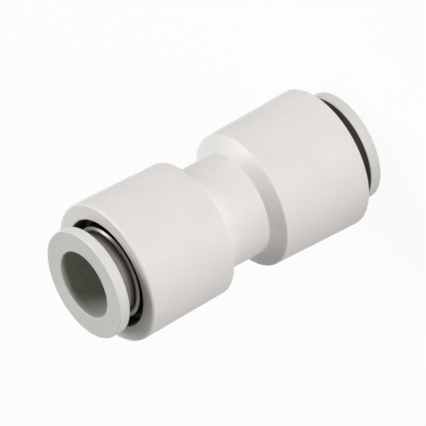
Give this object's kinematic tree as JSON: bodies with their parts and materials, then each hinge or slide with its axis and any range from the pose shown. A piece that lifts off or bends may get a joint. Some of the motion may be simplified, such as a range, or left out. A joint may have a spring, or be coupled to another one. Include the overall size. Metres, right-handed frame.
{
  "type": "push-in fitting",
  "caption": "Straight push-in tube union: a waisted white body with a flanged release collar, a steel guide ring and a socket for the tube at each end.",
  "frame": {"origin": "centre of the flat face of the lower release collar (end b), on the tube axis, where the fitting stands", "axes": "+Z along the tube axis, from end b up to end a; X and Y are free, because the form is turned about Z apart from the chuck's claws"},
  "size_m": [0.017, 0.017, 0.0378],
  "materials": {
    "body_plastic": "satin moulded white plastic",
    "collar_plastic": "satin moulded pale grey plastic",
    "collet_plastic": "matt moulded grey plastic",
    "guide_steel": "bright stainless sheet",
    "spring_steel": "stainless spring strip",
    "seal_rubber": "matt black nitrile rubber"
  },
  "bodies": {
    "body": {"body": "body_plastic", "guide_ring_a": "guide_steel", "guide_ring_b": "guide_steel", "seal_a": "seal_rubber", "seal_b": "seal_rubber"},
    "grip_a": {"chuck_a": "spring_steel", "collet_a": "collet_plastic"},
    "release_a": {"release_collar_a": "collar_plastic"},
    "grip_b": {"chuck_b": "spring_steel", "collet_b": "collet_plastic"},
    "release_b": {"release_collar_b": "collar_plastic"}
  },
  "joints": [
    {"name": "grip_turn_a", "type": "hinge", "parent": "body", "child": "grip_a", "pos_m": [0, 0, 0.03005], "axis": [0, 0, 1], "continuous": true},
    {"name": "release_press_a", "type": "slide", "parent": "grip_a", "child": "release_a", "axis": [0, 0, -1], "range_m": [0, 0.0018], "stiffness_N_per_m": 2000, "deforming": ["chuck_a"]},
    {"name": "grip_turn_b", "type": "hinge", "parent": "body", "child": "grip_b", "pos_m": [0, 0, 0.00775], "axis": [0, 0, -1], "continuous": true},
    {"name": "release_press_b", "type": "slide", "parent": "grip_b", "child": "release_b", "axis": [0, 0, 1], "range_m": [0, 0.0018], "stiffness_N_per_m": 2000, "deforming": ["chuck_b"]}
  ]
}
